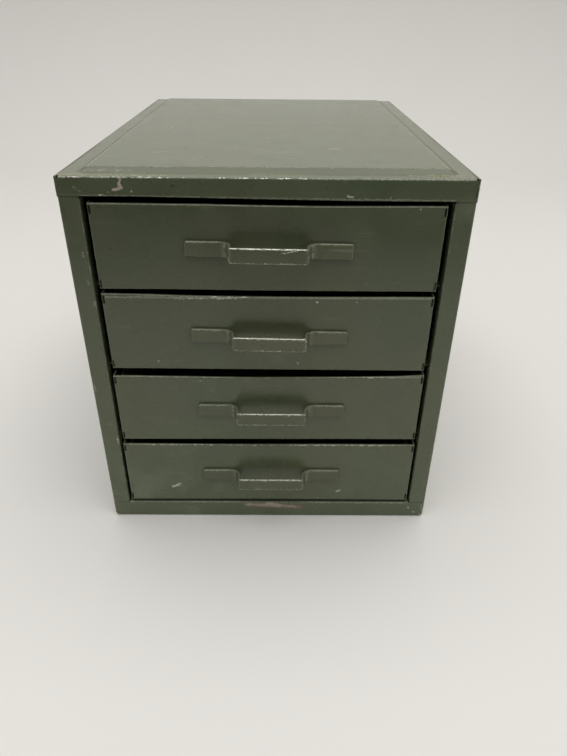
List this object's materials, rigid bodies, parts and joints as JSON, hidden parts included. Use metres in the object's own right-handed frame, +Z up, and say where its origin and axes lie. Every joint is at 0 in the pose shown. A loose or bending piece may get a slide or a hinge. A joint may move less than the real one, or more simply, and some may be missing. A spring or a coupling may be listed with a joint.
{
  "type": "small metal drawer cabinet",
  "caption": "Benchtop cabinet of folded sheet steel with a raised lid panel and equal full-width drawers, each with a bent strap pull.",
  "frame": {"origin": "centre of the case's underside", "axes": "+X to the cabinet's own left-hand side as seen from behind, that is to the right as seen from the front; +Y towards the back, so the drawers open along -Y; +Z up"},
  "size_m": [0.241, 0.3553, 0.2615],
  "materials": {
    "case_enamel": "worn semi-gloss olive green enamel",
    "drawer_enamel": "worn semi-gloss olive green enamel",
    "pull_enamel": "olive green enamel, rubbed to bare metal on its edges",
    "tray_enamel": "semi-gloss olive green enamel, scuffed inside",
    "runner_enamel": "olive green enamel, rubbed where the drawers slide"
  },
  "bodies": {
    "cabinet": {"wrapper": "case_enamel", "lid": "case_enamel", "back_panel": "case_enamel", "runner_left_1": "runner_enamel", "runner_right_1": "runner_enamel", "runner_left_2": "runner_enamel", "runner_right_2": "runner_enamel", "runner_left_3": "runner_enamel", "runner_right_3": "runner_enamel", "runner_left_4": "runner_enamel", "runner_right_4": "runner_enamel"},
    "drawer_1": {"drawer_1_front": "drawer_enamel", "drawer_1_tray": "tray_enamel", "drawer_1_pull": "pull_enamel"},
    "drawer_2": {"drawer_2_front": "drawer_enamel", "drawer_2_tray": "tray_enamel", "drawer_2_pull": "pull_enamel"},
    "drawer_3": {"drawer_3_front": "drawer_enamel", "drawer_3_tray": "tray_enamel", "drawer_3_pull": "pull_enamel"},
    "drawer_4": {"drawer_4_front": "drawer_enamel", "drawer_4_tray": "tray_enamel", "drawer_4_pull": "pull_enamel"}
  },
  "joints": [
    {"name": "drawer_1_slide", "type": "slide", "parent": "cabinet", "child": "drawer_1", "axis": [0, -1, 0], "range_m": [0, 0.28]},
    {"name": "drawer_2_slide", "type": "slide", "parent": "cabinet", "child": "drawer_2", "axis": [0, -1, 0], "range_m": [0, 0.28]},
    {"name": "drawer_3_slide", "type": "slide", "parent": "cabinet", "child": "drawer_3", "axis": [0, -1, 0], "range_m": [0, 0.28]},
    {"name": "drawer_4_slide", "type": "slide", "parent": "cabinet", "child": "drawer_4", "axis": [0, -1, 0], "range_m": [0, 0.28]}
  ]
}
